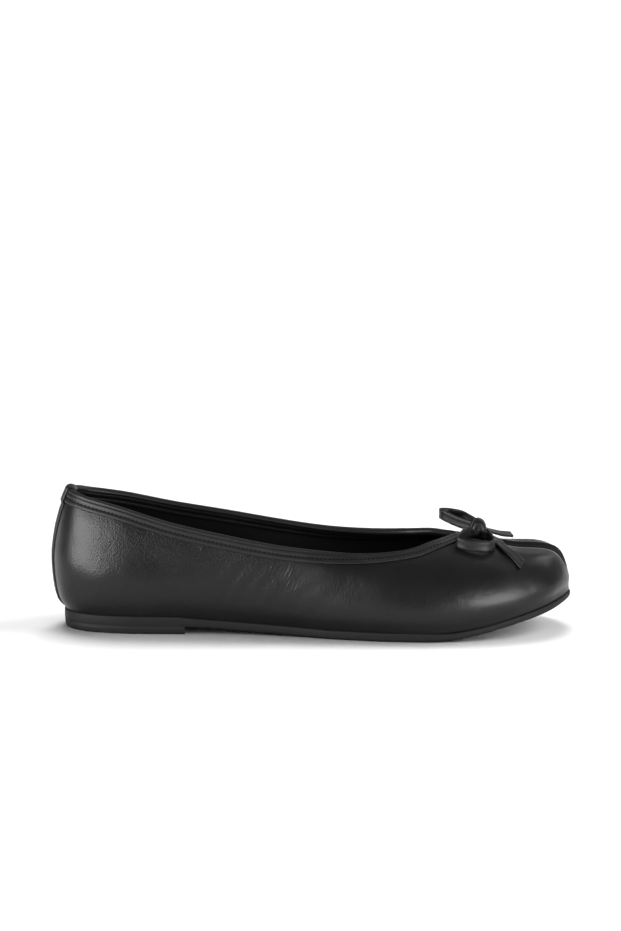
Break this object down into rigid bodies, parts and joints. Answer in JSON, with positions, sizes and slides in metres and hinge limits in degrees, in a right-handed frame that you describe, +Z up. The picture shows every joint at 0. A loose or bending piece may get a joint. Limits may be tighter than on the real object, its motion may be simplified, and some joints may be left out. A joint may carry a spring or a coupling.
{
  "type": "ballet flat",
  "caption": "Low slip-on leather shoe with a round toe, a bound topline, a strap bow on the vamp and a thin rubber sole with a low heel.",
  "frame": {"origin": "centre of the bounding box in plan, on the floor", "axes": "+X from the heel to the toe, +Y to the inner side of the foot, +Z up"},
  "size_m": [0.2518, 0.084, 0.0682],
  "materials": {
    "upper_leather": "satin black leather",
    "trim_leather": "semi-matt black leather",
    "sole_rubber": "matt dark grey rubber",
    "lining": "matt black lining leather"
  },
  "bodies": {
    "root": {"outsole": "sole_rubber", "heel": "sole_rubber", "insole": "lining", "upper": "upper_leather", "topline_binding": "trim_leather", "backstrip": "trim_leather", "bow_knot": "trim_leather", "bow_loop_lateral": "trim_leather", "bow_loop_medial": "trim_leather", "bow_tail_lateral": "trim_leather", "bow_tail_medial": "trim_leather"}
  },
  "joints": []
}
